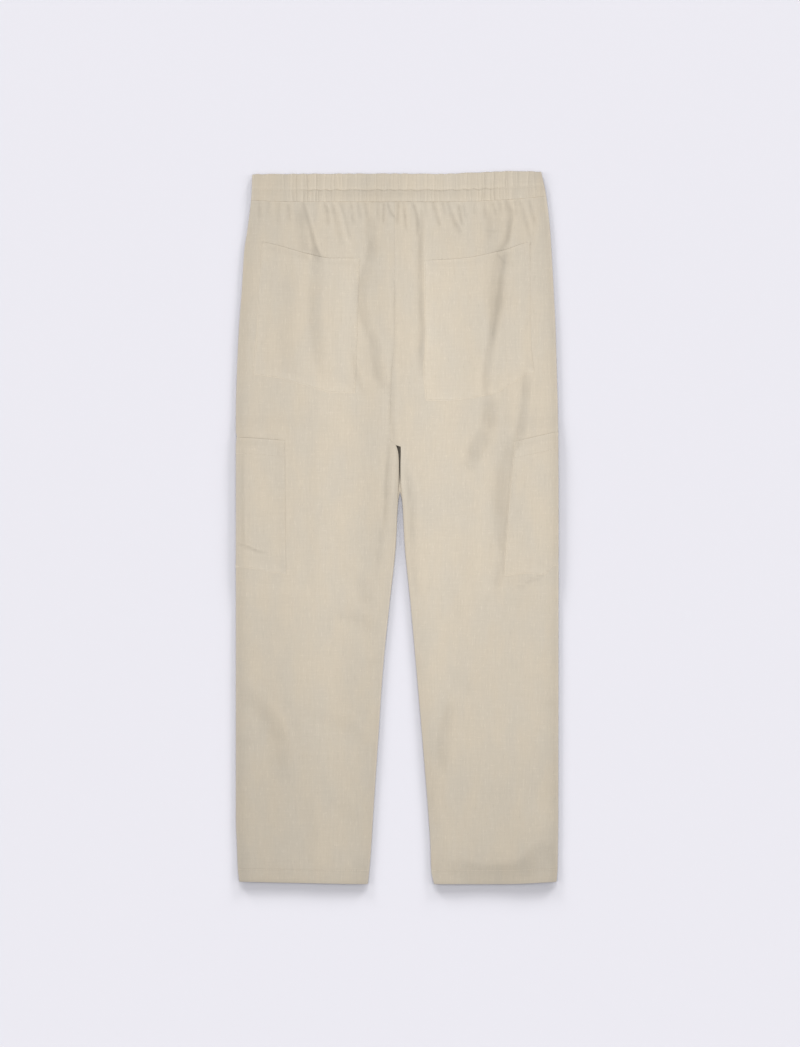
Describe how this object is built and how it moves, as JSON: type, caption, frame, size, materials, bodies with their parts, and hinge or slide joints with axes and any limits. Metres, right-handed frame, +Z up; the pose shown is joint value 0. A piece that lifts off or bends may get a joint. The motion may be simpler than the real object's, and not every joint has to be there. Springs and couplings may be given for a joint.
{
  "type": "cargo trousers",
  "caption": "Wide straight linen cargo trousers laid flat, back side up, with a gathered elastic waistband, patch pockets on the seat and a cargo pocket round each side.",
  "frame": {"origin": "on the floor plane, at the middle of the lying garment's length and width", "axes": "+Y toward the waist, +X toward the leg on the right as seen from above, +Z up out of the back side of the trousers"},
  "size_m": [0.4648, 1.027, 0.0088],
  "materials": {
    "linen": "matt plain-weave linen",
    "waistband_linen": "matt plain-weave linen over elastic"
  },
  "bodies": {
    "root": {"back_left": "linen", "back_right": "linen", "front_left": "linen", "front_right": "linen", "waistband_back": "waistband_linen", "waistband_front": "waistband_linen", "back_pocket_left": "linen", "back_pocket_right": "linen", "cargo_pocket_left": "linen", "cargo_pocket_right": "linen"}
  },
  "joints": []
}
